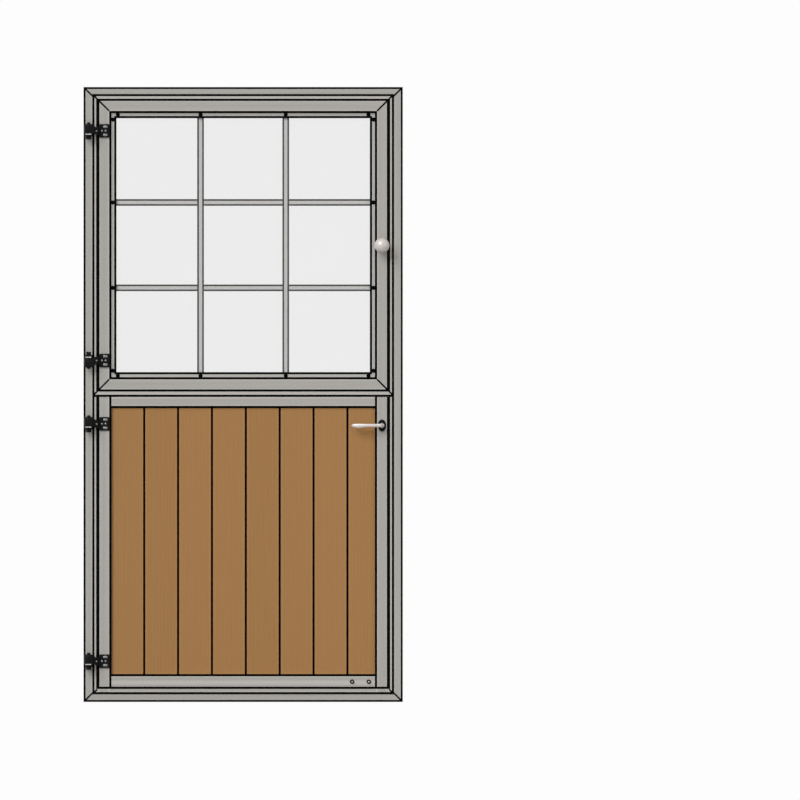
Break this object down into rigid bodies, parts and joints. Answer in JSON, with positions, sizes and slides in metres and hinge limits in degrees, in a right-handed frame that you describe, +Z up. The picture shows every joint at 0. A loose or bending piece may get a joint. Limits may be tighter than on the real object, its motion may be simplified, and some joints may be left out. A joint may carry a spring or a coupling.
{
  "type": "dutch stable door",
  "caption": "Dutch stable door in a mitred metal frame, with a glazed upper leaf and a boarded lower leaf that open one by one.",
  "frame": {"origin": "foot of the frame, midway between the jambs and at the leaves' mid-depth", "axes": "+Z up, +X towards the latch side, -Y the face with the hinges, which the leaves open towards"},
  "size_m": [1.276, 0.189, 2.458],
  "materials": {
    "frame_metal": "satin anodised extrusion",
    "leaf_metal": "satin anodised extrusion",
    "bead_metal": "satin anodised extrusion",
    "glazing_bar_metal": "satin anodised extrusion",
    "cleat_metal": "as cast",
    "pane": "clear, slightly misted",
    "board_wood": "stained tongue and groove boards",
    "hinge_black": "black powder coat",
    "washer_steel": "bright turned steel",
    "screw_zinc": "zinc plated",
    "screw_black": "black oxide",
    "keep_steel": "satin stainless",
    "latch_steel": "zinc plated",
    "handle_satin": "satin nickel",
    "bolt_steel": "zinc plated",
    "seal_rubber": "black extruded rubber"
  },
  "bodies": {
    "frame": {"frame_head": "frame_metal", "frame_sill": "frame_metal", "frame_hinge_jamb": "frame_metal", "frame_latch_jamb": "frame_metal", "frame_corner_cleats": "cleat_metal", "upper_keep": "keep_steel", "lower_keep": "keep_steel", "keep_screws": "keep_steel", "hinge_bracket_1": "hinge_black", "hinge_bracket_2": "hinge_black", "hinge_bracket_3": "hinge_black", "hinge_bracket_4": "hinge_black", "hinge_pins": "hinge_black", "hinge_washers": "washer_steel", "bracket_screws": "screw_black"},
    "upper_leaf": {"upper_top_rail": "leaf_metal", "upper_bottom_rail": "leaf_metal", "upper_hinge_stile": "leaf_metal", "upper_latch_stile": "leaf_metal", "bead_top": "bead_metal", "bead_bottom": "bead_metal", "bead_hinge_side": "bead_metal", "bead_latch_side": "bead_metal", "muntins_upright": "glazing_bar_metal", "muntins_level": "glazing_bar_metal", "upper_corner_cleats": "cleat_metal", "glass_pane": "pane", "glazing_gasket": "seal_rubber", "bead_screws": "screw_black", "upper_seal": "seal_rubber", "hinge_arm_1": "hinge_black", "hinge_arm_2": "hinge_black", "upper_arm_screws": "screw_zinc", "knob_roses": "handle_satin", "upper_latch_case": "latch_steel"},
    "upper_knob": {"knob_front": "handle_satin", "knob_back": "handle_satin"},
    "upper_bolt": {"upper_latch_bolt": "latch_steel"},
    "lower_leaf": {"lower_top_rail": "leaf_metal", "lower_bottom_rail": "leaf_metal", "lower_hinge_stile": "leaf_metal", "lower_latch_stile": "leaf_metal", "board_1": "board_wood", "board_2": "board_wood", "board_3": "board_wood", "board_4": "board_wood", "board_5": "board_wood", "board_6": "board_wood", "board_7": "board_wood", "board_8": "board_wood", "lower_seal": "seal_rubber", "hinge_arm_3": "hinge_black", "hinge_arm_4": "hinge_black", "lower_arm_screws": "screw_zinc", "rail_bolts": "bolt_steel", "lever_roses": "handle_satin", "lower_latch_case": "latch_steel"},
    "lower_lever": {"lever_front": "handle_satin", "lever_back": "handle_satin"},
    "lower_bolt": {"lower_latch_bolt": "latch_steel"}
  },
  "joints": [
    {"name": "upper_leaf_hinge", "type": "hinge", "parent": "frame", "child": "upper_leaf", "pos_m": [-0.6176, -0.051, 1.824], "axis": [0, 0, -1], "range_deg": [0, 180]},
    {"name": "knob_turn", "type": "hinge", "parent": "upper_leaf", "child": "upper_knob", "pos_m": [0.555, 0, 1.825], "axis": [0, -1, 0], "range_deg": [0, 60], "stiffness_Nm_per_rad": 0.8, "springref_deg": -17.19},
    {"name": "upper_bolt_slide", "type": "slide", "parent": "upper_leaf", "child": "upper_bolt", "axis": [-1, 0, 0], "range_m": [0, 0.012]},
    {"name": "lower_leaf_hinge", "type": "hinge", "parent": "frame", "child": "lower_leaf", "pos_m": [-0.6176, -0.051, 0.6375], "axis": [0, 0, -1], "range_deg": [0, 180]},
    {"name": "lever_turn", "type": "hinge", "parent": "lower_leaf", "child": "lower_lever", "pos_m": [0.555, 0, 1.105], "axis": [0, -1, 0], "range_deg": [0, 40], "stiffness_Nm_per_rad": 1.2, "springref_deg": -22.92},
    {"name": "lower_bolt_slide", "type": "slide", "parent": "lower_leaf", "child": "lower_bolt", "axis": [-1, 0, 0], "range_m": [0, 0.012]}
  ],
  "couplings": [
    {"joint": "upper_bolt_slide", "follows": "knob_turn", "m_per_rad": 0.01145},
    {"joint": "lower_bolt_slide", "follows": "lever_turn", "m_per_rad": 0.01718}
  ]
}
